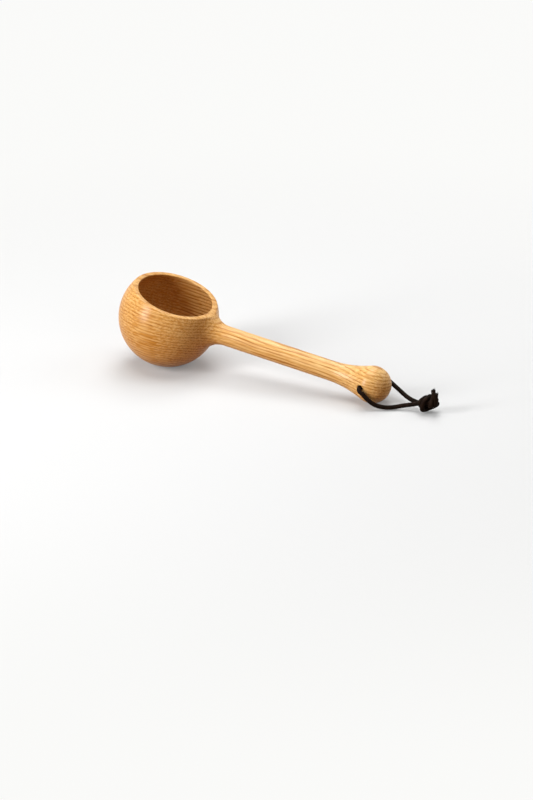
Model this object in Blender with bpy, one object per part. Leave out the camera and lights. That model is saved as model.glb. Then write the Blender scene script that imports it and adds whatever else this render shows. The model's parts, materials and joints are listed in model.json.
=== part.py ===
"""A turned wooden coffee scoop with a leather thong knotted through the knob of its handle.

The wood is one piece: a round bowl, a slim handle and a knob turned about one axis, with the bowl hollowed
through a mouth that leans towards the handle. The thong runs through a cross hole in the knob, both its
strands are tied in one overhand knot, and it swings about the hole. The scoop rests on a small flat under the
bowl and on the knob. The origin is the middle of that flat, +X runs towards the knob and +Z is up.
"""

import math

import bmesh
import bpy
from mathutils import Matrix, Vector

# The wood, in metres and degrees.
BOWL_DIAMETER = 0.054
BOWL_WALL = 0.0026
RIM_HEIGHT = 0.01375  # of the rim's plane above the bowl's centre, along the mouth's axis
MOUTH_LEAN = 10.2  # of the mouth towards the handle, from square to the handle
RIM_CHAMFER = 0.0009  # width of the rim's outer slope, inside the bowl's own outline
CHAMFER_SLOPE = 32.0
CHAMFER_OVERRUN = 0.0012  # of that slope's cut past the outline
FOOT_DIAMETER = 0.008
HANDLE_LENGTH = 0.1218  # from the bowl's centre to the knob's
HANDLE_DIAMETER = 0.0107
BOWL_COVE = 0.0125  # radius of the hollow curve from the bowl to the handle
KNOB_DIAMETER = 0.0198
KNOB_COVE = 0.060  # radius of the hollow curve from the handle to the knob
HOLE_SETBACK = 0.0035  # of the cross hole from the knob's centre, towards the bowl
HOLE_CLEARANCE = 0.0004  # between the thong and the hole, all round

# The thong, in metres. Its routes start at a mouth of the hole: (along the handle, out to the side, up).
THONG_DIAMETER = 0.00235
STRAIGHT_OUT = 0.0011  # of each mouth, before the thong bends
FRONT_ROUTE = (
    (0.0012, 0.0024, -0.0004),
    (0.0033, 0.0026, -0.0019),
    (0.0057, 0.0019, -0.0045),
    (0.0092, 0.0003, -0.0074),
    (0.0138, -0.0016, -0.0086),
    (0.0182, -0.0044, -0.0087),
    (0.0220, -0.0070, -0.0080),
    (0.0245, -0.0080, -0.0074),
    (0.0271, -0.0080, -0.0069),
    (0.0297, -0.0078, -0.0064),
)
REAR_ROUTE = (
    (0.0009, 0.0027, 0.0000),
    (0.0031, 0.0036, -0.0005),
    (0.0069, 0.0024, -0.0015),
    (0.0128, -0.0003, -0.0035),
    (0.0188, -0.0037, -0.0051),
    (0.0238, -0.0070, -0.0060),
    (0.0271, -0.0080, -0.0062),
    (0.0297, -0.0081, -0.0060),
)
KNOT_LENGTH = 0.0098
KNOT_THICKNESS = 0.0086
KNOT_TURN = -12.0  # of the knot's far end, about the upright
KNOT_RISE = 16.0  # of the knot's far end, upwards
WRAP_TURNS = 1.3
WRAP_FULLNESS = 0.35  # how soon a wrap comes up to the knot's surface: lower is sooner
WRAP_DRIFT = 0.0042  # of a wrap along the knot
TAIL_LENGTH = 0.0044
TAIL_RISE = 52.0  # of the tails, from the knot's own length
TAIL_SPREAD = 16.0  # between the two tails

# Clearance between pieces that touch, and the fineness of round shapes.
GAP = 0.0003
TURN_STEPS = 48
BORE_STEPS = 20
ARC_STEP = 7.5
CORE_STEPS = 24
SHARP_ANGLE = 35.0
MERGE_DISTANCE = 0.000001
TUBE_STEP = 2.0  # thong diameters between the points of a tube
CURVE_PIECES = 12  # between two points of a route
WRAP_POINTS = 28
KNOT_FACET = 0.27  # of a thong diameter
CUTTER_MARGIN = 0.002

# Worked out from the sizes above.
BOWL_RADIUS = BOWL_DIAMETER / 2
HANDLE_RADIUS = HANDLE_DIAMETER / 2
KNOB_RADIUS = KNOB_DIAMETER / 2
HOLLOW_RADIUS = BOWL_RADIUS - BOWL_WALL
BOWL_CENTRE = Vector((0, 0, math.sqrt(BOWL_RADIUS**2 - (FOOT_DIAMETER / 2) ** 2)))
HANDLE_SLOPE = math.asin((BOWL_CENTRE.z - KNOB_RADIUS) / HANDLE_LENGTH)
HANDLE_FRAME = Matrix.Translation(BOWL_CENTRE) @ Matrix.Rotation(HANDLE_SLOPE, 4, "Y")
MOUTH_FRAME = HANDLE_FRAME @ Matrix.Rotation(math.radians(MOUTH_LEAN), 4, "Y")
HOLE_CENTRE = HANDLE_FRAME @ Vector((HANDLE_LENGTH - HOLE_SETBACK, 0, 0))


def arc(centre, radius, start, end):
    """Points of an arc in a profile's plane, from one angle in radians to another."""
    count = max(2, math.ceil(math.degrees(abs(end - start)) / ARC_STEP))
    angles = [start + (end - start) * i / count for i in range(count + 1)]
    return [(centre[0] + radius * math.cos(a), centre[1] + radius * math.sin(a)) for a in angles]


def wood_profile():
    """The turned outline, as (along the axis, radius) from the bowl's end to the knob's."""
    cove_along = math.sqrt((BOWL_RADIUS + BOWL_COVE) ** 2 - (HANDLE_RADIUS + BOWL_COVE) ** 2)
    neck_along = math.sqrt((KNOB_RADIUS + KNOB_COVE) ** 2 - (HANDLE_RADIUS + KNOB_COVE) ** 2)
    cove_angle = math.atan2(HANDLE_RADIUS + BOWL_COVE, cove_along)
    neck_angle = math.atan2(HANDLE_RADIUS + KNOB_COVE, neck_along)
    cove_centre = (cove_along, HANDLE_RADIUS + BOWL_COVE)
    neck_centre = (HANDLE_LENGTH - neck_along, HANDLE_RADIUS + KNOB_COVE)
    bottom = 1.5 * math.pi
    outline = arc((0, 0), BOWL_RADIUS, math.pi, cove_angle)
    outline += arc(cove_centre, BOWL_COVE, math.pi + cove_angle, bottom)[1:]
    outline += arc(neck_centre, KNOB_COVE, bottom, 2 * math.pi - neck_angle)
    outline += arc((HANDLE_LENGTH, 0), KNOB_RADIUS, math.pi - neck_angle, 0)[1:]
    return outline


def radius_at(along):
    """The turned outline's radius at a place along the axis."""
    outline = wood_profile()
    for (first, low), (second, high) in zip(outline, outline[1:]):
        if first <= along <= second and second > first:
            return low + (high - low) * (along - first) / (second - first)
    return KNOB_RADIUS


def hollow_profile():
    """The outline of all that is cut from the bowl, as (radius, height) about the mouth's axis."""
    mouth_angle = math.asin(RIM_HEIGHT / HOLLOW_RADIUS)
    mouth_radius = math.sqrt(HOLLOW_RADIUS**2 - RIM_HEIGHT**2)
    rim_radius = math.sqrt(BOWL_RADIUS**2 - RIM_HEIGHT**2)
    chamfer = min(RIM_CHAMFER, (rim_radius - mouth_radius) / 2)
    chamfer_start = rim_radius - chamfer
    chamfer_run = chamfer + CHAMFER_OVERRUN
    chamfer_drop = chamfer_run * math.tan(math.radians(CHAMFER_SLOPE))
    top = BOWL_RADIUS + CUTTER_MARGIN
    outline = arc((0, 0), HOLLOW_RADIUS, -0.5 * math.pi, mouth_angle)
    outline.append((chamfer_start, RIM_HEIGHT))
    outline.append((chamfer_start + chamfer_run, RIM_HEIGHT - chamfer_drop))
    outline.append((chamfer_start + chamfer_run, top))
    outline.append((0, top))
    return outline


def turned_mesh(name, corners, axis, steps):
    """A closed mesh made by spinning corners round an axis through the origin."""
    shape = bmesh.new()
    points = [shape.verts.new(corner) for corner in corners]
    for first, second in zip(points, points[1:]):
        shape.edges.new((first, second))
    everything = shape.verts[:] + shape.edges[:]
    bmesh.ops.spin(shape, geom=everything, cent=(0, 0, 0), axis=axis, angle=math.tau, steps=steps)
    bmesh.ops.remove_doubles(shape, verts=shape.verts[:], dist=MERGE_DISTANCE)
    bmesh.ops.recalc_face_normals(shape, faces=shape.faces[:])
    mesh = bpy.data.meshes.new(name)
    shape.to_mesh(mesh)
    shape.free()
    mesh.shade_smooth()
    mesh.set_sharp_from_angle(angle=math.radians(SHARP_ANGLE))
    return mesh


def add_object(name, data, place, parent=None, material=None):
    obj = bpy.data.objects.new(name, data)
    bpy.context.scene.collection.objects.link(obj)
    obj.parent = parent
    obj.matrix_local = place
    if material:
        data.materials.append(material)
    return obj


def cut(obj, name, mesh, place):
    """Cuts a hidden mesh out of an object."""
    cutter = add_object(name, mesh, place)
    cutter.hide_render = True
    cutter.display_type = "WIRE"
    modifier = obj.modifiers.new(name, "BOOLEAN")
    modifier.operation = "DIFFERENCE"
    modifier.object = cutter


def plain_material(name, colour, roughness):
    material = bpy.data.materials.new(name)
    material.use_nodes = True
    shader = material.node_tree.nodes["Principled BSDF"]
    shader.inputs["Base Color"].default_value = (*colour, 1)
    shader.inputs["Roughness"].default_value = roughness
    shader.inputs["Metallic"].default_value = 0
    return material


def add_scoop_body(material):
    """The wood: turned outside, hollowed bowl, flat foot and cross hole."""
    corners = [(along, 0, radius) for along, radius in wood_profile()]
    mesh = turned_mesh("scoop_body", corners, (1, 0, 0), TURN_STEPS)
    body = add_object("scoop_body", mesh, HANDLE_FRAME, material=material)
    hollow = turned_mesh(
        "hollow_cutter", [(radius, 0, up) for radius, up in hollow_profile()], (0, 0, 1), TURN_STEPS
    )
    cut(body, "hollow_cutter", hollow, MOUTH_FRAME)
    foot_radius = FOOT_DIAMETER / 2 + CUTTER_MARGIN
    foot_corners = [(0, 0, 0), (foot_radius, 0, 0), (foot_radius, 0, -foot_radius), (0, 0, -foot_radius)]
    foot = turned_mesh("foot_cutter", foot_corners, (0, 0, 1), BORE_STEPS)
    cut(body, "foot_cutter", foot, Matrix())
    reach = KNOB_RADIUS + CUTTER_MARGIN
    bore = THONG_DIAMETER / 2 + HOLE_CLEARANCE
    hole_corners = [(0, -reach, 0), (bore, -reach, 0), (bore, reach, 0), (0, reach, 0)]
    hole = turned_mesh("hole_cutter", hole_corners, (0, 1, 0), BORE_STEPS)
    cut(body, "hole_cutter", hole, Matrix.Translation(HOLE_CENTRE))
    return body


def smooth_path(lead, points, step):
    """Places a given step apart on a smooth curve through the points, which it reaches from the lead."""
    path = [lead, *points, 2 * points[-1] - points[-2]]
    fine = []
    for a, b, c, d in zip(path, path[1:], path[2:], path[3:]):
        for i in range(CURVE_PIECES):
            t = i / CURVE_PIECES
            bend = (2 * a - 5 * b + 4 * c - d) * t**2 + (3 * b - a - 3 * c + d) * t**3
            fine.append(b + 0.5 * ((c - a) * t + bend))
    fine.append(points[-1])
    length = sum((b - a).length for a, b in zip(fine, fine[1:]))
    count = max(2, round(length / step))
    even = [fine[0]]
    gone = 0.0
    for a, b in zip(fine, fine[1:]):
        while len(even) < count and gone + (b - a).length >= length * len(even) / count:
            share = (length * len(even) / count - gone) / (b - a).length
            even.append(a.lerp(b, share))
        gone += (b - a).length
    even.append(fine[-1])
    return even


def tube(name, points, diameter):
    """A round tube along points, as curve data with closed ends."""
    data = bpy.data.curves.new(name, "CURVE")
    data.dimensions = "3D"
    data.bevel_depth = diameter / 2
    data.bevel_resolution = 2
    data.use_fill_caps = True
    spline = data.splines.new("POLY")
    spline.points.add(len(points) - 1)
    for point, place in zip(spline.points, points):
        point.co = (*place, 1)
    return data


def strand(route, side):
    """A strand from a mouth of the hole to the knot, in the hole's frame: side -1 in front, 1 behind."""
    mouth = radius_at(HANDLE_LENGTH - HOLE_SETBACK)
    start = Vector((0, side * (mouth + STRAIGHT_OUT), 0))
    inside = Vector((0, side * (mouth + STRAIGHT_OUT - THONG_DIAMETER), 0))
    points = [Vector((along, side * (mouth + out), up)) for along, out, up in route]
    return smooth_path(inside, [start, *points], TUBE_STEP * THONG_DIAMETER)


def knot_frame():
    """The knot's place in the hole's frame: its X runs from the two strands to the two tails."""
    middle = (strand(FRONT_ROUTE, -1)[-1] + strand(REAR_ROUTE, 1)[-1]) / 2
    rise = math.radians(KNOT_RISE)
    turn = Matrix.Rotation(math.radians(KNOT_TURN), 4, "Z") @ Matrix.Rotation(-rise, 4, "Y")
    half_height = math.hypot(KNOT_LENGTH / 2 * math.sin(rise), KNOT_THICKNESS / 2 * math.cos(rise))
    ahead = turn.to_3x3() @ Vector((KNOT_LENGTH / 2 + THONG_DIAMETER / 4 + GAP, 0, 0))
    centre = (middle.x + ahead.x, middle.y + ahead.y, half_height + GAP - HOLE_CENTRE.z)
    return Matrix.Translation(centre) @ turn


def add_thong_loop(pivot, material):
    """The thong from the knot along the front, through the hole and back along the rear."""
    points = [*reversed(strand(FRONT_ROUTE, -1)), *strand(REAR_ROUTE, 1)]
    return add_object("thong_loop", tube("thong_loop", points, THONG_DIAMETER), Matrix(), pivot, material)


def wrap_points(offset):
    """One strand's wrap round the knot, starting and ending inside it."""
    outer = (KNOT_THICKNESS - THONG_DIAMETER) / 2
    points = []
    for i in range(WRAP_POINTS + 1):
        share = i / WRAP_POINTS
        angle = math.tau * WRAP_TURNS * (share - 0.5)
        radius = outer * math.sin(math.pi * share) ** WRAP_FULLNESS
        along = offset + WRAP_DRIFT * (share - 0.5)
        points.append((along, radius * math.sin(angle), radius * math.cos(angle)))
    return points


def add_thong_knot(pivot, material):
    """The overhand knot: both strands wrapped side by side round their own core, grown into one body."""
    shape = bmesh.new()
    bmesh.ops.create_uvsphere(shape, u_segments=CORE_STEPS, v_segments=CORE_STEPS // 2, radius=0.5)
    core_thickness = KNOT_THICKNESS - THONG_DIAMETER
    bmesh.ops.scale(shape, vec=(KNOT_LENGTH, core_thickness, core_thickness), verts=shape.verts[:])
    for side in (-0.5, 0.5):
        wrap = add_object("wrap", tube("wrap", wrap_points(side * THONG_DIAMETER), THONG_DIAMETER), Matrix())
        wrap_mesh = bpy.data.meshes.new_from_object(wrap.evaluated_get(bpy.context.evaluated_depsgraph_get()))
        shape.from_mesh(wrap_mesh)
        bpy.data.objects.remove(wrap)
        bpy.data.meshes.remove(wrap_mesh)
    mesh = bpy.data.meshes.new("thong_knot")
    shape.to_mesh(mesh)
    shape.free()
    knot = add_object("thong_knot", mesh, knot_frame(), pivot, material)
    grown = knot.modifiers.new("grown_together", "REMESH")
    grown.mode = "VOXEL"
    grown.voxel_size = KNOT_FACET * THONG_DIAMETER
    grown.use_smooth_shade = True
    return knot


def add_thong_tails(pivot, material):
    """The two cut ends that stand out of the knot's far end, side by side."""
    rise = math.radians(TAIL_RISE)
    reach = 1 / math.hypot(2 * math.cos(rise) / KNOT_LENGTH, 2 * math.sin(rise) / KNOT_THICKNESS)
    direction = Vector((math.cos(rise), 0, math.sin(rise)))
    for name, side in (("thong_tail_front", -1), ("thong_tail_rear", 1)):
        sideways = Vector((0, side * (THONG_DIAMETER + GAP) / 2, 0))
        lean = Vector((0, side * math.tan(math.radians(TAIL_SPREAD / 2)), 0))
        start = direction * (reach + GAP) + sideways
        points = [start, start + (direction + lean) * TAIL_LENGTH]
        add_object(name, tube(name, points, THONG_DIAMETER), knot_frame(), pivot, material)


def main():
    for obj in list(bpy.data.objects):
        bpy.data.objects.remove(obj)
    wood = plain_material("oiled_wood", (0.53, 0.27, 0.085), 0.45)
    leather = plain_material("dark_leather", (0.022, 0.013, 0.009), 0.6)
    add_scoop_body(wood)
    pivot = add_object("thong_pivot", None, Matrix.Translation(HOLE_CENTRE))
    add_thong_loop(pivot, leather)
    add_thong_knot(pivot, leather)
    add_thong_tails(pivot, leather)


main()
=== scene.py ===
"""A turned wooden coffee scoop with a knotted leather thong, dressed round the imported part, in metres."""

import json
import math

import bmesh
import bpy
import numpy as np
from mathutils import Matrix, Vector


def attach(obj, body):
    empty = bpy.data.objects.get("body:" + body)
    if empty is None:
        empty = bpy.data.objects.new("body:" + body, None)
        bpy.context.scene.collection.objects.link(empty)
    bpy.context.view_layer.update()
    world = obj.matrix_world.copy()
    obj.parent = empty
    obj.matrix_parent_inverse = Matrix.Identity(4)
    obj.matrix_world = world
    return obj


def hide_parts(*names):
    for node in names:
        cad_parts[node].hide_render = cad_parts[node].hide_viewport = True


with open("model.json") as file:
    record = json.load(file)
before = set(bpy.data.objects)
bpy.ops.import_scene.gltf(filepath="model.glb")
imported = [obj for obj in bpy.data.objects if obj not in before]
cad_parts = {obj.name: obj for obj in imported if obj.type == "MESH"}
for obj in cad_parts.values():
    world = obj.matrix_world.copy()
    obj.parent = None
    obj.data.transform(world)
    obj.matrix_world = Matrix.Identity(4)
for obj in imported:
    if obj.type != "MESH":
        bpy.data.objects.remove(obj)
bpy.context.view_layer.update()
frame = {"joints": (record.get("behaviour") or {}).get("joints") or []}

# The wood's sizes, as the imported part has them.
BOWL_RADIUS = 0.027
BOWL_WALL = 0.0026
RIM_HEIGHT = 0.01375  # from the bowl's centre up the mouth's axis to the rim's plane
MOUTH_LEAN = math.radians(10.2)
FOOT_RADIUS = 0.004
HANDLE_LENGTH = 0.1218  # from the bowl's centre to the knob's
HANDLE_RADIUS = 0.00535
BOWL_COVE = 0.0125
KNOB_RADIUS = 0.0099
KNOB_COVE = 0.060
HOLE_RADIUS = 0.001575
HOLE_CENTRE = Vector(frame["joints"][0]["pos_m"])

# How the edges are worn round, and how finely the wood is turned.
LIP_INNER_ROUND = 0.0004
LIP_OUTER_DROP = 0.0004  # from the rim's plane down to where the outer rounding starts
LIP_STEPS = 7
MOUTH_REACH = 0.034  # from the mouth's axis, to where the rim's plane may cut
HOLE_FLARE = 0.0007
FLARE_WIDTH = 2.0  # in flares, past the hole's radius, of the cutter outside a mouth
FLARE_HEIGHT = 1.6  # in flares, from the start of the flare to where the cutter is that wide
HOLE_REACH = KNOB_RADIUS * 1.2  # of the cutter, from the middle of the hole
ARC_STEP = math.radians(2)
EDGE_STEP = math.radians(15)
TURN_STEPS = 192
MERGE = 0.000002
CUT_TOLERANCE = 1e-6  # within which a point counts as lying on a cut

# The thong: its routes start at a mouth of the hole, as (along the handle, out to the side, up).
THONG_DIAMETER = 0.00235
MOUTH_OUT = 0.00926  # from the middle of the hole to each mouth
STRAIGHT_OUT = 0.0011  # of each mouth, before the thong bends
HOLE_POINTS = 3  # of a strand's line, inside the hole
FRONT_ROUTE = (
    (0.0012, 0.0024, -0.0004),
    (0.0033, 0.0026, -0.0019),
    (0.0057, 0.0019, -0.0045),
    (0.0092, 0.0003, -0.0074),
    (0.0138, -0.0016, -0.0086),
    (0.0182, -0.0044, -0.0087),
    (0.0220, -0.0070, -0.0080),
    (0.0245, -0.0080, -0.0074),
    (0.0271, -0.0080, -0.0069),
)
REAR_ROUTE = (
    (0.0009, 0.0027, 0.0000),
    (0.0031, 0.0036, -0.0005),
    (0.0069, 0.0024, -0.0015),
    (0.0128, -0.0003, -0.0035),
    (0.0188, -0.0037, -0.0051),
    (0.0238, -0.0070, -0.0060),
    (0.0271, -0.0080, -0.0062),
)

# The overhand knot, drawn loose in thong diameters and then pulled tight: (along, across, up).
LOOSE_KNOT = (
    (-4.6, 0.0, 0.0),
    (-2.9, 0.0, 0.0),
    (-1.25, 0.0, 0.2),
    (0.4, 0.0, 0.6),
    (1.45, 0.6, 0.6),
    (1.65, 1.65, 0.0),
    (0.6, 2.1, -0.6),
    (-0.8, 1.55, -0.8),
    (-1.45, 0.2, -0.8),
    (-0.8, -1.0, 0.0),
    (0.0, -1.0, 1.25),
    (0.7, 0.0, 1.55),
    (0.7, 1.0, 0.95),
    (0.3, 1.0, 0.0),
    (0.4, 0.2, -0.7),
    (1.7, -0.2, -0.4),
    (2.5, 0.0, 0.8),
    (3.1, 0.0, 2.2),
)
KNOT_TURN = math.radians(-12)
KNOT_RISE = math.radians(21)
KNOT_MIDDLE = Vector((0.1522, -0.0013, 0.0046))
KNOT_SQUEEZE = 0.86  # of a thong diameter, between strands that press on each other
KNOT_STEP = 0.19  # of a thong diameter, between two points of a strand
GROUND_GAP = 0.0001  # under the knot
TAIL_START = 0.0074  # from the knot's middle to where the tails come free
FRONT_TAIL = ((-0.0001, -0.0002, 0.0012), (-0.0001, -0.0003, 0.0026), (0.0001, -0.0003, 0.0038))
REAR_TAIL = ((-0.0003, 0.0004, 0.0009), (-0.0008, 0.0008, 0.0019), (-0.0010, 0.0011, 0.0028))

# How the knot is pulled tight: in rounds of several passes, while its strands swell and their ends are held.
LOOSE_SHARE = 0.25  # of the full thickness, at the start
TYING_ROUNDS = 200
TYING_PASSES = 12
SWELLING = 0.9  # of the rounds, until the strands have their full thickness
HELD_POINTS = 2  # at each end of a strand
END_ROOM = 1.04  # of a squeezed thickness, between the held ends
OWN_REACH = 1.5  # thicknesses along a strand, within which it doesn't press on itself
LEAST_STRETCH = 1.88  # steps, between a point and the next but one
LEAST_DISTANCE = 1e-9  # so that nothing is divided by zero

# By what share of their misfit each of two points moves in one pass.
PRESS = 0.3  # between strands that press on each other
UNBEND = 0.15  # across a kink
PULL = 0.5  # between neighbours along a strand

# Where a strand leaves the hole, runs into the knot and leaves it, it is smoothed for some steps both ways.
STRAND_STEP = THONG_DIAMETER * 0.3
JOIN_REACH = 10
JOIN_ROUNDS = 60
EDGE_REACH = 3
EDGE_ROUNDS = 6

# How finely the strands are drawn.
CURVE_PIECES = 10  # from one point of a curve to the next
FAIRING_PIECES = 4
FINE_STEP = THONG_DIAMETER * 0.18
STRAND_ROUNDING = 6  # the higher, the rounder a strand's section
CUT_EDGE = math.radians(50)  # where shading breaks, at the cut ends

# The leather's fibres that stand out of its cut ends.
FIBRES = 11
FIBRE_SEED = 5
FIBRE_THICKNESS = 0.00022
FIBRE_TAPER = (1, 1, 0.9, 0.7, 0.35)
FIBRE_STEPS = (0, 0.3, 0.6, 0.85, 1)
FIBRE_ROOT = 0.0003  # inside the strand
FIBRE_LENGTH = 0.0011
FIBRE_LENGTHS = (0.45, 1.0)  # shares of the length
FIBRE_PLACES = (0.12, 0.42)  # thong diameters from the middle of the cut end
FIBRE_SPREAD = 0.55
FIBRE_LEANS = (0.2, 1.0)  # shares of the spread
FIBRE_CURL = 0.00018
TIP_STEPS = 3  # over which a strand's direction at its cut end is taken

# The camera stands where the photograph was taken from.
CAMERA_PLACE = (0.71796, -1.3173, 0.61457)
CAMERA_TILT = math.radians(67)
CAMERA_TURN = math.radians(26.59)
CAMERA_LENS = 135
CAMERA_NEAR = 0.05

BOWL_CENTRE = Vector((0, 0, math.sqrt(BOWL_RADIUS**2 - FOOT_RADIUS**2)))
HANDLE_SLOPE = math.asin((BOWL_CENTRE.z - KNOB_RADIUS) / HANDLE_LENGTH)
HANDLE_FRAME = Matrix.Translation(BOWL_CENTRE) @ Matrix.Rotation(HANDLE_SLOPE, 4, "Y")
MOUTH_FRAME = HANDLE_FRAME @ Matrix.Rotation(MOUTH_LEAN, 4, "Y")
HOLLOW_RADIUS = BOWL_RADIUS - BOWL_WALL


# Camera
def add_camera():
    bpy.ops.object.camera_add(location=CAMERA_PLACE, rotation=(CAMERA_TILT, 0, CAMERA_TURN))
    camera = bpy.context.object
    camera.data.lens = CAMERA_LENS
    camera.data.clip_start = CAMERA_NEAR
    bpy.context.scene.camera = camera


# Selection
def pick(obj):
    """Selects one object alone and makes it the active one."""
    bpy.ops.object.select_all(action="DESELECT")
    obj.select_set(True)
    bpy.context.view_layer.objects.active = obj


# Thong
def smooth_line(points, pieces=CURVE_PIECES):
    """Points on a smooth curve through the given ones."""
    path = [2 * points[0] - points[1], *points, 2 * points[-1] - points[-2]]
    line = []
    for a, b, c, d in zip(path, path[1:], path[2:], path[3:]):
        for i in range(pieces):
            t = i / pieces
            bend = (2 * a - 5 * b + 4 * c - d) * t**2 + (3 * b - a - 3 * c + d) * t**3
            line.append(b + 0.5 * ((c - a) * t + bend))
    line.append(points[-1])
    return line


def even_line(line, step):
    """The same line with its points a steady step apart, as an array."""
    line = np.array([tuple(p) for p in line])
    gone = np.concatenate(([0], np.cumsum(np.linalg.norm(np.diff(line, axis=0), axis=1))))
    places = np.linspace(0, gone[-1], round(gone[-1] / step) + 1)
    return np.stack([np.interp(places, gone, line[:, k]) for k in range(3)], axis=1)


def nearest(line, place):
    """The number of the line's point nearest to a place."""
    return int(np.argmin(np.linalg.norm(line - np.array(place), axis=1)))


def loose_strands(apart):
    """Two strands side by side along the loose knot: the front one first."""
    line = even_line(smooth_line([Vector(p) for p in LOOSE_KNOT]), KNOT_STEP)
    ahead = np.gradient(line, axis=0)
    ahead /= np.linalg.norm(ahead, axis=1, keepdims=True)
    side = np.array((0.0, 1.0, 0.0))
    sides = []
    for direction in ahead:
        side = side - direction * (side @ direction)
        side /= np.linalg.norm(side)
        sides.append(side)
    offset = np.array(sides) * apart / 2
    return even_line(line - offset, KNOT_STEP), even_line(line + offset, KNOT_STEP)


def press(points, first, second, want, firmness):
    """Moves pairs of points towards the distance that they should have."""
    between = points[second] - points[first]
    far = np.linalg.norm(between, axis=1, keepdims=True)
    shift = firmness * (far - want) / np.maximum(far, LEAST_DISTANCE) * between
    np.add.at(points, first, shift)
    np.add.at(points, second, -shift)


def tied_knot():
    """The two strands of a tight overhand knot, in thong diameters: they swell while their ends are held."""
    strands = loose_strands(LOOSE_SHARE)
    sizes = [len(strand) for strand in strands]
    points = np.concatenate(strands)
    owner = np.repeat((0, 1), sizes)
    index = np.concatenate([np.arange(size) for size in sizes])
    follows = np.nonzero(owner[:-1] == owner[1:])[0]
    skips = np.nonzero(owner[:-2] == owner[2:])[0]
    last = np.array(sizes)[owner] - 1
    ends = np.nonzero((index < HELD_POINTS) | (index > last - HELD_POINTS))[0]
    held = points[ends]
    held[:, 1] = np.where(owner[ends] == 0, -0.5, 0.5) * KNOT_SQUEEZE * END_ROOM
    pairs = np.triu(np.ones((len(points), len(points)), bool), 1)
    same = owner[:, None] == owner[None]
    along = np.abs(index[:, None] - index[None])
    stretch = LEAST_STRETCH * KNOT_STEP
    for turn in range(TYING_ROUNDS):
        share = min(1.0, turn / (SWELLING * TYING_ROUNDS))
        thick = KNOT_SQUEEZE * (LOOSE_SHARE + (1 - LOOSE_SHARE) * share)
        free = pairs & (~same | (along > math.ceil(OWN_REACH * thick / KNOT_STEP)))
        for _ in range(TYING_PASSES):
            gaps = points[:, None] - points[None]
            first, second = np.nonzero(free & (np.einsum("ijk,ijk->ij", gaps, gaps) < thick**2))
            press(points, first, second, thick, PRESS)
            stretched = np.linalg.norm(points[skips + 2] - points[skips], axis=1)
            kinked = skips[stretched < stretch]
            press(points, kinked, kinked + 2, stretch, UNBEND)
            for start in (0, 1, 0, 1):
                piece = follows[index[follows] % 2 == start]
                press(points, piece, piece + 1, KNOT_STEP, PULL)
            points[ends] = held
    return points[owner == 0], points[owner == 1]


def knot_in_place(strands):
    """The knot's strands in metres, where the knot lies, resting on the ground."""
    turn = Matrix.Rotation(KNOT_TURN, 3, "Z") @ Matrix.Rotation(-KNOT_RISE, 3, "Y")
    placed = [strand * THONG_DIAMETER @ np.array(turn).T + np.array(KNOT_MIDDLE) for strand in strands]
    lowest = min(strand[:, 2].min() for strand in placed) - THONG_DIAMETER / 2
    return [strand - np.array((0, 0, lowest - GROUND_GAP)) for strand in placed]


def strand_line(route, side, knot, tail):
    """One half of the thong, from the middle of the hole through the knot to its cut end."""
    inside = [Vector((0, side * MOUTH_OUT * k / HOLE_POINTS, 0)) for k in range(HOLE_POINTS)]
    out = Vector((0, side * (MOUTH_OUT + STRAIGHT_OUT), 0))
    bends = [Vector((along, side * (MOUTH_OUT + away), up)) for along, away, up in route]
    free = [HOLE_CENTRE + point for point in (*inside, out, *bends)]
    tied = [Vector(point) for point in knot]
    start = next(i for i, point in enumerate(tied) if point.x > free[-1].x + THONG_DIAMETER)
    end = next(i for i in range(len(tied) - 1, 0, -1) if (tied[i] - KNOT_MIDDLE).length < TAIL_START)
    ends = smooth_line([tied[end], *(tied[end] + Vector(point) for point in tail)])
    line = even_line([*smooth_line(free), *tied[start:end], *ends], STRAND_STEP)
    smoothing = (
        (nearest(line, free[HOLE_POINTS]), EDGE_REACH, EDGE_ROUNDS),
        (nearest(line, free[-1]), JOIN_REACH, JOIN_ROUNDS),
        (nearest(line, tied[end]), EDGE_REACH, EDGE_ROUNDS),
    )
    for middle, reach, rounds in smoothing:
        near = np.arange(middle - reach, middle + reach)
        for _ in range(rounds):
            line[near] = 0.5 * line[near] + 0.25 * (line[near - 1] + line[near + 1])
    fair = smooth_line([Vector(p) for p in line[::2]] + [Vector(line[-1])], FAIRING_PIECES)
    return even_line(fair, FINE_STEP)


def add_strand(name, lines, thicknesses, material):
    """Round strands along lines, as one mesh; each thins towards its end by its own shares of thickness."""
    data = bpy.data.curves.new(name, "CURVE")
    data.dimensions = "3D"
    data.bevel_depth = THONG_DIAMETER / 2
    data.bevel_resolution = STRAND_ROUNDING
    data.use_fill_caps = True
    for line, shares in zip(lines, thicknesses):
        spline = data.splines.new("POLY")
        spline.points.add(len(line) - 1)
        for point, place, share in zip(spline.points, line, shares):
            point.co = (*place, 1)
            point.radius = share
    strand = bpy.data.objects.new(name, data)
    bpy.context.scene.collection.objects.link(strand)
    pick(strand)
    bpy.ops.object.convert(target="MESH")
    strand = bpy.context.object
    bpy.ops.object.mode_set(mode="EDIT")
    bpy.ops.mesh.select_all(action="SELECT")
    bpy.ops.mesh.remove_doubles(threshold=MERGE)
    bpy.ops.mesh.normals_make_consistent(inside=False)
    bpy.ops.object.mode_set(mode="OBJECT")
    bpy.ops.object.shade_smooth_by_angle(angle=CUT_EDGE)
    strand.data.materials.clear()
    strand.data.materials.append(material)
    return strand


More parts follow.
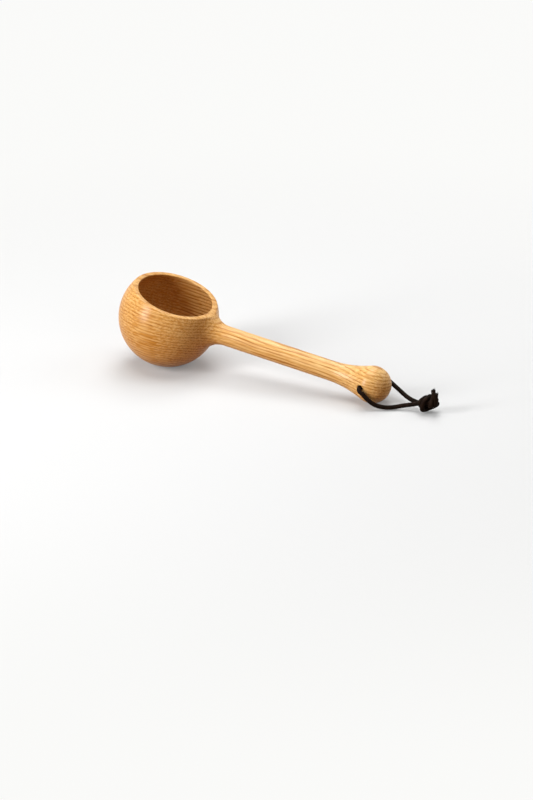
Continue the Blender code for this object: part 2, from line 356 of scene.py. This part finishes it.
def fibre_lines(line, draw):
    """Short bent fibres that fan out of a strand's cut end."""
    tip = line[-1]
    ahead = line[-1] - line[-1 - TIP_STEPS]
    ahead /= np.linalg.norm(ahead)
    lines = []
    for _ in range(FIBRES):
        aside = draw.normal(size=3)
        aside -= ahead * (aside @ ahead)
        aside /= np.linalg.norm(aside)
        foot = tip - FIBRE_ROOT * ahead + aside * THONG_DIAMETER * draw.uniform(*FIBRE_PLACES)
        lean = ahead + aside * FIBRE_SPREAD * draw.uniform(*FIBRE_LEANS)
        curl = draw.normal(size=3) * FIBRE_CURL
        reach = FIBRE_ROOT + FIBRE_LENGTH * draw.uniform(*FIBRE_LENGTHS)
        lines.append([foot + lean * reach * step + curl * step * step for step in FIBRE_STEPS])
    return lines


def add_thong(leather):
    """The thong's two halves, each a cord from the hole to its cut end, tied in one knot."""
    knot = knot_in_place(tied_knot())
    draw = np.random.default_rng(FIBRE_SEED)
    taper = np.array(FIBRE_TAPER) * FIBRE_THICKNESS / THONG_DIAMETER
    halves = (
        ("thong_front", "front_fibres", FRONT_ROUTE, -1, knot[0], FRONT_TAIL),
        ("thong_rear", "rear_fibres", REAR_ROUTE, 1, knot[1], REAR_TAIL),
    )
    for name, fibre_name, route, side, tied, tail in halves:
        line = strand_line(route, side, tied, tail)
        strand = add_strand(name, [line], [np.ones(len(line))], leather)
        fibres = add_strand(fibre_name, fibre_lines(line, draw), [taper] * FIBRES, leather)
        for piece in (strand, fibres):
            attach(piece, "thong")
        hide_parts("thong_loop", "thong_knot", "thong_tail_front", "thong_tail_rear")


# Wood
def arc(centre, radius, start, end, step=ARC_STEP):
    """Points of an arc in a profile's plane, from one angle to another."""
    count = max(2, math.ceil(abs(end - start) / step))
    angles = [start + (end - start) * i / count for i in range(count + 1)]
    return [(centre[0] + radius * math.cos(a), centre[1] + radius * math.sin(a)) for a in angles]


def wood_outline():
    """The turned outline, as (along the axis, radius) from the bowl's end to the knob's."""
    cove_along = math.sqrt((BOWL_RADIUS + BOWL_COVE) ** 2 - (HANDLE_RADIUS + BOWL_COVE) ** 2)
    neck_along = math.sqrt((KNOB_RADIUS + KNOB_COVE) ** 2 - (HANDLE_RADIUS + KNOB_COVE) ** 2)
    cove_angle = math.atan2(HANDLE_RADIUS + BOWL_COVE, cove_along)
    neck_angle = math.atan2(HANDLE_RADIUS + KNOB_COVE, neck_along)
    bottom = 1.5 * math.pi
    outline = arc((0, 0), BOWL_RADIUS, math.pi, cove_angle)
    outline += arc((cove_along, HANDLE_RADIUS + BOWL_COVE), BOWL_COVE, math.pi + cove_angle, bottom)[1:]
    neck_centre = (HANDLE_LENGTH - neck_along, HANDLE_RADIUS + KNOB_COVE)
    outline += arc(neck_centre, KNOB_COVE, bottom, math.tau - neck_angle)
    outline += arc((HANDLE_LENGTH, 0), KNOB_RADIUS, math.pi - neck_angle, 0)[1:]
    return outline


def hollow_outline():
    """The inside of the bowl up to the lip's flat, as (radius, height) about the mouth's axis."""
    height = RIM_HEIGHT - LIP_INNER_ROUND
    edge = (math.sqrt((HOLLOW_RADIUS + LIP_INNER_ROUND) ** 2 - height**2), height)
    wall_end = math.atan2(edge[1], edge[0])
    outline = arc((0, 0), HOLLOW_RADIUS, -0.5 * math.pi, wall_end)
    return outline + arc(edge, LIP_INNER_ROUND, math.pi + wall_end, 0.5 * math.pi, EDGE_STEP)[1:]


def hole_outline():
    """The cross hole, as (radius, along the hole), opening a little at both mouths."""
    flare_start = MOUTH_OUT - HOLE_FLARE
    widest = HOLE_RADIUS + HOLE_FLARE * FLARE_WIDTH
    half = arc((HOLE_RADIUS + HOLE_FLARE, flare_start), HOLE_FLARE, math.pi, 0.5 * math.pi, EDGE_STEP)
    half.append((widest, flare_start + HOLE_FLARE * FLARE_HEIGHT))
    half.append((widest, HOLE_REACH))
    half.append((0, HOLE_REACH))
    return [(radius, -along) for radius, along in reversed(half)] + half


def turned_shape(name, corners, centre, axis):
    """A vertex drawn out from corner to corner, then spun round an axis."""
    bpy.ops.object.select_all(action="DESELECT")
    bpy.ops.mesh.primitive_plane_add(size=BOWL_WALL)
    shape = bpy.context.object
    shape.name = name
    bpy.ops.object.mode_set(mode="EDIT")
    bpy.ops.mesh.select_mode(type="VERT")
    bpy.ops.mesh.select_all(action="SELECT")
    bpy.ops.mesh.merge(type="CENTER")
    bpy.ops.transform.translate(value=corners[0])
    for start, end in zip(corners, corners[1:]):
        bpy.ops.mesh.extrude_region_move(TRANSFORM_OT_translate={"value": end - start})
    bpy.ops.mesh.select_all(action="SELECT")
    bpy.ops.mesh.spin(steps=TURN_STEPS, angle=math.tau, center=centre, axis=axis)
    bpy.ops.mesh.select_all(action="SELECT")
    bpy.ops.mesh.remove_doubles(threshold=MERGE)
    bpy.ops.mesh.normals_make_consistent(inside=False)
    bpy.ops.object.mode_set(mode="OBJECT")
    return shape


def carve(body, cutter):
    """Cuts one shape out of another and removes the cutter."""
    pick(body)
    modifier = body.modifiers.new("carve", "BOOLEAN")
    modifier.operation = "DIFFERENCE"
    modifier.object = cutter
    bpy.ops.object.modifier_apply(modifier="carve")
    bpy.data.objects.remove(cutter)


def select_faces(body, wanted):
    """Selects the faces whose middles pass a test, and stays in edit mode, on edges."""
    pick(body)
    bpy.ops.object.mode_set(mode="EDIT")
    bpy.ops.mesh.select_mode(type="FACE")
    bpy.ops.mesh.select_all(action="DESELECT")
    for face in bmesh.from_edit_mesh(body.data).faces:
        face.select = wanted(face.calc_center_median())
    bmesh.update_edit_mesh(body.data)
    bpy.ops.mesh.select_mode(type="EDGE")


def flatten_foot(body):
    """Cuts the flat under the bowl that it stands on."""
    select_faces(body, lambda middle: middle.z < FOOT_RADIUS and abs(middle.x) < 2 * FOOT_RADIUS)
    bpy.ops.mesh.bisect(plane_co=(0, 0, 0), plane_no=(0, 0, 1), clear_inner=True, threshold=CUT_TOLERANCE)
    bpy.ops.mesh.edge_face_add()
    bpy.ops.object.mode_set(mode="OBJECT")


def outer_slope(place):
    """How far the bowl's outer face looks up from the rim's plane: a sphere, or the cove beside it."""
    spot = HANDLE_FRAME.inverted() @ place
    across = HANDLE_RADIUS + BOWL_COVE
    along = math.sqrt((BOWL_RADIUS + BOWL_COVE) ** 2 - across**2)
    facing = spot.normalized()
    if spot.x > along * BOWL_RADIUS / (BOWL_RADIUS + BOWL_COVE):
        facing = (Vector((along, *(spot.yz.normalized() * across))) - spot).normalized()
    upright = Matrix.Rotation(MOUTH_LEAN, 3, "Y") @ Vector((0, 0, 1))
    return math.asin(facing.dot(upright))


def open_mouth(body):
    """Cuts the bowl open a little below the rim, and rolls the edge round up to the rim's plane."""
    to_mouth = MOUTH_FRAME.inverted()
    start = RIM_HEIGHT - LIP_OUTER_DROP
    select_faces(body, lambda middle: (to_mouth @ middle).xy.length < MOUTH_REACH)
    upright = MOUTH_FRAME.to_3x3() @ Vector((0, 0, 1))
    place = MOUTH_FRAME @ Vector((0, 0, start))
    bpy.ops.mesh.bisect(plane_co=place, plane_no=upright, clear_outer=True, threshold=CUT_TOLERANCE)
    edge = bmesh.from_edit_mesh(body.data)
    slope = edge.verts.layers.float.new("slope")
    reach = edge.verts.layers.float.new("reach")
    for vertex in edge.verts:
        if vertex.select:
            vertex[slope] = outer_slope(vertex.co)
            vertex[reach] = (to_mouth @ vertex.co).xy.length
    bmesh.update_edit_mesh(body.data)
    for step in range(1, LIP_STEPS + 1):
        bpy.ops.mesh.extrude_edges_move()
        edge = bmesh.from_edit_mesh(body.data)
        slope = edge.verts.layers.float["slope"]
        reach = edge.verts.layers.float["reach"]
        for vertex in edge.verts:
            if vertex.select:
                first = vertex[slope]
                turned = first + (0.5 * math.pi - first) * step / LIP_STEPS
                round_radius = LIP_OUTER_DROP / (1 - math.sin(first))
                out = vertex[reach] + round_radius * (math.cos(turned) - math.cos(first))
                up = start + round_radius * (math.sin(turned) - math.sin(first))
                ahead = (to_mouth @ vertex.co).xy.normalized() * out
                vertex.co = MOUTH_FRAME @ Vector((*ahead, up))
        bmesh.update_edit_mesh(body.data)
    bpy.ops.object.mode_set(mode="OBJECT")
    for name in ("slope", "reach"):
        body.data.attributes.remove(body.data.attributes[name])


def line_bowl(body, hollow):
    """Joins the inside of the bowl to the lip."""
    pick(body)
    hollow.select_set(True)
    bpy.ops.object.join()
    bpy.ops.object.mode_set(mode="EDIT")
    bpy.ops.mesh.select_mode(type="EDGE")
    bpy.ops.mesh.select_all(action="DESELECT")
    bpy.ops.mesh.select_non_manifold(
        use_wire=False, use_multi_face=False, use_non_contiguous=False, use_verts=False
    )
    bpy.ops.mesh.bridge_edge_loops()
    bpy.ops.mesh.select_all(action="SELECT")
    bpy.ops.mesh.normals_make_consistent(inside=False)
    bpy.ops.object.mode_set(mode="OBJECT")


def add_wood(material):
    """Bowl, handle and knob in one piece: turned, bored, cut open, and lined."""
    along = HANDLE_FRAME.to_3x3() @ Vector((1, 0, 0))
    upright = MOUTH_FRAME.to_3x3() @ Vector((0, 0, 1))
    outline = [HANDLE_FRAME @ Vector((a, 0, r)) for a, r in wood_outline()]
    body = turned_shape("turned_scoop", outline, BOWL_CENTRE, along)
    bore = [HOLE_CENTRE + Vector((r, a, 0)) for r, a in hole_outline()]
    carve(body, turned_shape("hole", bore, HOLE_CENTRE, (0, 1, 0)))
    flatten_foot(body)
    open_mouth(body)
    inside = [MOUTH_FRAME @ Vector((r, 0, h)) for r, h in hollow_outline()]
    line_bowl(body, turned_shape("hollow", inside, BOWL_CENTRE, upright))
    bpy.ops.object.shade_smooth()
    body.data.materials.clear()
    body.data.materials.append(material)
    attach(body, "scoop")
    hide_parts("scoop_body")


# Materials
def new_material(name):
    material = bpy.data.materials.new(name)
    material.use_nodes = True
    return material, material.node_tree, material.node_tree.nodes["Principled BSDF"]


def add_node(tree, kind, **settings):
    node = tree.nodes.new("ShaderNode" + kind)
    for name, value in settings.items():
        setattr(node, name, value)
    return node


def set_inputs(node, **values):
    """Sets sockets by their names, with _ for a space."""
    for name, value in values.items():
        node.inputs[name.replace("_", " ")].default_value = value


def math_node(tree, operation, *operands):
    """A Math node; each operand is a number or a socket."""
    node = add_node(tree, "Math", operation=operation)
    for socket, value in zip(node.inputs, operands):
        if isinstance(value, bpy.types.NodeSocket):
            tree.links.new(value, socket)
        else:
            socket.default_value = value
    return node.outputs[0]


def times(tree, first, second):
    return math_node(tree, "MULTIPLY", first, second)


def scaled(tree, value, factor, offset):
    """A value times a factor, plus an offset."""
    return math_node(tree, "MULTIPLY_ADD", value, factor, offset)


def distance(tree, vector, place):
    """How far each point is from a place."""
    node = add_node(tree, "VectorMath", operation="DISTANCE")
    node.inputs[1].default_value = place
    tree.links.new(vector, node.inputs[0])
    return node.outputs["Value"]


def squeezed(tree, vector, factors):
    """A vector with each of its parts times its own factor."""
    node = add_node(tree, "VectorMath", operation="MULTIPLY")
    node.inputs[1].default_value = factors
    tree.links.new(vector, node.inputs[0])
    return node.outputs[0]


def noise(tree, vector, scale, detail):
    node = add_node(tree, "TexNoise")
    set_inputs(node, Scale=scale, Detail=detail)
    tree.links.new(vector, node.inputs["Vector"])
    return node.outputs["Fac"]


def ramp(tree, value, low, high):
    """A smooth step from 0 to 1 between two values."""
    node = add_node(tree, "MapRange", interpolation_type="SMOOTHSTEP")
    set_inputs(node, From_Min=low, From_Max=high)
    tree.links.new(value, node.inputs["Value"])
    return node.outputs["Result"]


def mix_colour(tree, share, first, second):
    """The second colour over the first, by a share; each is a socket or red, green and blue."""
    node = add_node(tree, "Mix", data_type="RGBA")
    tree.links.new(share, node.inputs["Factor"])
    for socket, value in ((node.inputs[6], first), (node.inputs[7], second)):
        if isinstance(value, bpy.types.NodeSocket):
            tree.links.new(value, socket)
        else:
            socket.default_value = (*value, 1)
    return node.outputs[2]


def add_relief(tree, shader, height, strength, depth):
    bump = add_node(tree, "Bump")
    set_inputs(bump, Strength=strength, Distance=depth)
    tree.links.new(height, bump.inputs["Height"])
    tree.links.new(bump.outputs["Normal"], shader.inputs["Normal"])


# How the growth layers lie in the blank, whose X runs from the bowl's centre along the handle.
GRAIN_ROLL = math.radians(-26)  # of the layers about the handle
PITH = (0.0, 0.03, -0.15)
LAYER = 0.0017

# The wood's colours.
LIGHT_WOOD = (0.78, 0.510, 0.205)
GOLD_WOOD = (0.49, 0.208, 0.030)
WARM_WOOD = (0.35, 0.120, 0.013)
DARK_WOOD = (0.19, 0.050, 0.005)

# The wood's noises: scale per metre, detail, and how much slower each changes along the grain.
SWAY = (30, 2, 0.4)
RIPPLE = (420, 2, 0.10)
BREAKS = (900, 2, 0.10)
PORES = (2600, 2, 0.035)
FIBRE = (5200, 3, 0.02)
STREAKS = (1500, 3, 0.06)
CLOUDS = (55, 3, 0.4)

# Between which values each mark in the wood comes in.
BAND_STARTS = (0.0, 0.15)  # of a layer
BAND_ENDS = (0.62, 0.22)
BREAKS_END = (0.34, 0.60)
PORES_COME = (0.55, 0.68)
STREAKS_COME = (0.38, 0.62)
CLOUDS_COME = (0.35, 0.7)
HANDLE_STARTS = (0.0, 0.06)  # along the blank
HOLLOW_STARTS = (HOLLOW_RADIUS + 0.0008, HOLLOW_RADIUS + 0.0002)  # from the bowl's centre
RINGS_START = (-0.009, 0.005)  # along the blank

# How strongly the marks show.
SWAY_DEPTH = 0.005
RIPPLE_DEPTH = 0.0013
BROKEN_SHARE = 0.65  # of a band that the breaks can take away
YEAR_SHARE = 0.5  # by which one year's band differs from another's, at most
# the bowl's extra gold: partly the wood's own tone, partly painted shade on the bowl
BOWL_GOLD_AND_SHADE = 0.36  # more than in the handle
STREAK_GOLD = 0.50
CLOUD_GOLD = 0.22
BAND_WARMTH = 0.95
PORE_DARKNESS = 0.12
BAND_PORES = 0.5  # more, in the bands
# painted shade in the hollow: how far its colour goes towards warm wood
HOLLOW_PAINTED_SHADE = 0.25
# painted light between the rings on the wall by the handle; the rings' dark bands are grain
RING_PAINTED_LIGHT = 0.36
RING_DARK = 0.34

# The wood's finish: an oil that leaves it satin.
WOOD_ROUGHNESS = 0.24
BAND_ROUGHNESS = 0.12
FIBRE_ROUGHNESS = 0.25
FIBRE_RELIEF = 0.4
PORE_RELIEF = -0.7
BAND_RELIEF = -0.5
WOOD_RELIEF = 0.45
WOOD_RELIEF_DEPTH = 0.00014
WOOD_GLOSS = 0.06
OIL = 0.26
OIL_ROUGHNESS = 0.24


def grain_noise(tree, grain, kind):
    """A noise drawn out along the grain."""
    scale, detail, slowness = kind
    return noise(tree, squeezed(tree, grain, (slowness, 1, 1)), scale, detail)


def blank_places(tree):
    """The places in the blank, with the grain along X."""
    places = add_node(tree, "TexCoord")
    blank = add_node(tree, "Mapping")
    back = (HANDLE_FRAME @ Matrix.Rotation(GRAIN_ROLL, 4, "X")).inverted()
    set_inputs(blank, Location=back.to_translation(), Rotation=back.to_euler())
    tree.links.new(places.outputs["Object"], blank.inputs["Vector"])
    return blank.outputs["Vector"]


def growth_layers(tree, grain):
    """The dark band of each year's layer: even, and as it shows, broken and stronger in some years."""
    from_pith = distance(tree, squeezed(tree, grain, (0, 1, 1)), PITH)
    swayed = scaled(tree, grain_noise(tree, grain, SWAY), SWAY_DEPTH, from_pith)
    swayed = scaled(tree, grain_noise(tree, grain, RIPPLE), RIPPLE_DEPTH, swayed)
    count = math_node(tree, "DIVIDE", swayed, LAYER)
    layer = math_node(tree, "FRACT", count)
    year = add_node(tree, "TexWhiteNoise", noise_dimensions="1D")
    tree.links.new(math_node(tree, "FLOOR", count), year.inputs["W"])
    band = times(tree, ramp(tree, layer, *BAND_STARTS), ramp(tree, layer, *BAND_ENDS))
    unbroken = ramp(tree, grain_noise(tree, grain, BREAKS), *BREAKS_END)
    whole = scaled(tree, unbroken, BROKEN_SHARE, 1 - BROKEN_SHARE)
    rich = scaled(tree, year.outputs["Value"], YEAR_SHARE, 1 - YEAR_SHARE)
    return band, times(tree, band, times(tree, whole, rich))


def oiled_wood():
    """Growth layers along the handle, fine pores drawn out along the grain, and a satin oil finish."""
    material, tree, shader = new_material("oiled_wood")
    grain = blank_places(tree)
    band, line = growth_layers(tree, grain)
    pores = ramp(tree, grain_noise(tree, grain, PORES), *PORES_COME)
    fibre = grain_noise(tree, grain, FIBRE)
    streak = ramp(tree, grain_noise(tree, grain, STREAKS), *STREAKS_COME)
    cloud = ramp(tree, grain_noise(tree, grain, CLOUDS), *CLOUDS_COME)
    parts = add_node(tree, "SeparateXYZ")
    tree.links.new(grain, parts.inputs[0])
    along = parts.outputs["X"]

    # The outside: light wood with golden streaks, warm bands and dark pores.
    # The bowl is more golden and darker than the handle: partly its own tone, partly painted shade.
    bowl = scaled(tree, ramp(tree, along, *HANDLE_STARTS), -BOWL_GOLD_AND_SHADE, BOWL_GOLD_AND_SHADE)
    gold = scaled(tree, cloud, CLOUD_GOLD, scaled(tree, streak, STREAK_GOLD, bowl))
    tone = mix_colour(tree, gold, LIGHT_WOOD, GOLD_WOOD)
    tone = mix_colour(tree, times(tree, line, BAND_WARMTH), tone, WARM_WOOD)
    dark = times(tree, pores, scaled(tree, line, BAND_PORES, PORE_DARKNESS))
    tone = mix_colour(tree, dark, tone, DARK_WOOD)

    # The hollow: painted shade that makes it darker and warmer all over, with even rings on the wall by the
    # handle.
    hollow = ramp(tree, distance(tree, grain, (0, 0, 0)), *HOLLOW_STARTS)
    tone = mix_colour(tree, times(tree, hollow, HOLLOW_PAINTED_SHADE), tone, WARM_WOOD)
    # On the wall by the handle the rings' dark bands are grain, and the lighter wood between them is painted
    # light.
    rings = times(tree, hollow, ramp(tree, along, *RINGS_START))
    light = times(tree, rings, scaled(tree, band, -RING_PAINTED_LIGHT, RING_PAINTED_LIGHT))
    tone = mix_colour(tree, light, tone, LIGHT_WOOD)
    tone = mix_colour(tree, times(tree, rings, times(tree, band, RING_DARK)), tone, DARK_WOOD)
    tree.links.new(tone, shader.inputs["Base Color"])

    rough = scaled(tree, fibre, FIBRE_ROUGHNESS, scaled(tree, line, BAND_ROUGHNESS, WOOD_ROUGHNESS))
    tree.links.new(rough, shader.inputs["Roughness"])
    relief = scaled(tree, pores, PORE_RELIEF, times(tree, line, BAND_RELIEF))
    relief = scaled(tree, fibre, FIBRE_RELIEF, relief)
    add_relief(tree, shader, relief, WOOD_RELIEF, WOOD_RELIEF_DEPTH)
    set_inputs(shader, Specular_IOR_Level=WOOD_GLOSS, Coat_Weight=OIL, Coat_Roughness=OIL_ROUGHNESS)
    return material


# The leather: nearly black, with patches that are worn a little lighter.
LEATHER_GRAIN = (2600, 4)  # scale per metre and detail
LEATHER_PATCHES = (420, 2)
PATCHES_COME = (0.35, 0.7)
LEATHER_BLACK = (0.005, 0.0023, 0.0013)
LEATHER_BROWN = (0.015, 0.0075, 0.0045)
LEATHER_ROUGHNESS = 0.5
GRAIN_ROUGHNESS = 0.3
LEATHER_GLOSS = 0.04
LEATHER_RELIEF = 0.6
LEATHER_RELIEF_DEPTH = 0.0002


def dark_leather():
    """Nearly black leather, matt, with a fine grain."""
    material, tree, shader = new_material("dark_leather")
    places = add_node(tree, "TexCoord").outputs["Object"]
    grain = noise(tree, places, *LEATHER_GRAIN)
    patch = ramp(tree, noise(tree, places, *LEATHER_PATCHES), *PATCHES_COME)
    tree.links.new(mix_colour(tree, patch, LEATHER_BLACK, LEATHER_BROWN), shader.inputs["Base Color"])
    tree.links.new(scaled(tree, grain, GRAIN_ROUGHNESS, LEATHER_ROUGHNESS), shader.inputs["Roughness"])
    add_relief(tree, shader, grain, LEATHER_RELIEF, LEATHER_RELIEF_DEPTH)
    set_inputs(shader, Specular_IOR_Level=LEATHER_GLOSS)
    return material


# The floor: pale where it is seen, fading to an even white; the wood gets a warm light back from it.
FLOOR_SIZE = 8
FADE_MIDDLE = (0.065, 0, 0)
FLOOR_FADES = (0.05, 0.42)  # from that place outwards
FLOOR_NEAR = (0.51, 0.51, 0.51)
FLOOR_FAR = (0, 0, 0)
FLOOR_BOUNCE = (0.30, 0.155, 0.05)
NEAR_GLOW = 0.14
FAR_GLOW = 0.80  # more than near the object
GLOW_COLOUR = (1, 1, 0.985, 1)
FLOOR_ROUGHNESS = 0.9
FLOOR_GLOSS = 0.1

# The lamps: name, place, width, height and power.
LAMPS = (
    ("key", (-0.42, -0.70, 0.36), 0.24, 0.60, 9.4),
    ("top", (-0.05, 0.05, 0.90), 0.7, 0.7, 7.0),
    ("back", (-0.10, 0.55, 0.75), 0.45, 0.35, 3.0),
    ("rear", (0.60, 0.50, 0.60), 0.5, 0.5, 2.0),
    ("fill", (0.85, -0.50, 0.50), 0.4, 0.4, 1.4),
)
LAMP_AIM = (0.05, 0, 0.02)
WORLD_LIGHT = 0.04
WORLD_SHOWN = 1.0
WORLD_COLOUR = (1, 1, 1, 1)


# Stage
def seen_rays(tree):
    """1 for the rays that show the background: those from the camera, off gloss and through glass."""
    rays = add_node(tree, "LightPath")
    seen = math_node(tree, "MAXIMUM", rays.outputs["Is Camera Ray"], rays.outputs["Is Glossy Ray"])
    return math_node(tree, "MAXIMUM", seen, rays.outputs["Is Transmission Ray"])


def pale_floor():
    """A floor that is clear from below."""
    material, tree, shader = new_material("pale_floor")
    seen = seen_rays(tree)
    places = add_node(tree, "TexCoord").outputs["Object"]
    far = ramp(tree, distance(tree, places, FADE_MIDDLE), *FLOOR_FADES)
    shown = mix_colour(tree, far, FLOOR_NEAR, FLOOR_FAR)
    tree.links.new(mix_colour(tree, seen, FLOOR_BOUNCE, shown), shader.inputs["Base Color"])
    glow = times(tree, seen, scaled(tree, far, FAR_GLOW, NEAR_GLOW))
    tree.links.new(glow, shader.inputs["Emission Strength"])
    set_inputs(shader, Emission_Color=GLOW_COLOUR, Roughness=FLOOR_ROUGHNESS, Specular_IOR_Level=FLOOR_GLOSS)
    clear = add_node(tree, "BsdfTransparent")
    side = add_node(tree, "NewGeometry")
    both = add_node(tree, "MixShader")
    tree.links.new(side.outputs["Backfacing"], both.inputs[0])
    tree.links.new(shader.outputs[0], both.inputs[1])
    tree.links.new(clear.outputs[0], both.inputs[2])
    tree.links.new(both.outputs[0], tree.nodes["Material Output"].inputs["Surface"])
    return material


def add_floor(material):
    bpy.ops.object.select_all(action="DESELECT")
    bpy.ops.mesh.primitive_plane_add(size=FLOOR_SIZE)
    floor = bpy.context.object
    floor.name = "floor"
    floor.data.materials.append(material)


def add_lamp(name, place, width, height, power):
    """A soft lamp, turned towards the object."""
    bpy.ops.object.light_add(type="AREA", location=place)
    lamp = bpy.context.object
    lamp.name = name
    lamp.data.shape = "RECTANGLE"
    lamp.data.size = width
    lamp.data.size_y = height
    lamp.data.energy = power
    lamp.rotation_euler = (Vector(LAMP_AIM) - Vector(place)).to_track_quat("-Z", "Y").to_euler()


def add_world():
    """A white surrounding that lights the object only faintly."""
    world = bpy.data.worlds.new("studio")
    bpy.context.scene.world = world
    world.use_nodes = True
    tree = world.node_tree
    sky = tree.nodes["Background"]
    strength = add_node(tree, "MapRange")
    set_inputs(strength, To_Min=WORLD_LIGHT, To_Max=WORLD_SHOWN)
    tree.links.new(seen_rays(tree), strength.inputs["Value"])
    tree.links.new(strength.outputs["Result"], sky.inputs["Strength"])
    sky.inputs["Color"].default_value = WORLD_COLOUR


bpy.context.scene.view_settings.view_transform = "Standard"
add_camera()
add_thong(dark_leather())
add_wood(oiled_wood())
add_floor(pale_floor())
for lamp_values in LAMPS:
    add_lamp(*lamp_values)
add_world()
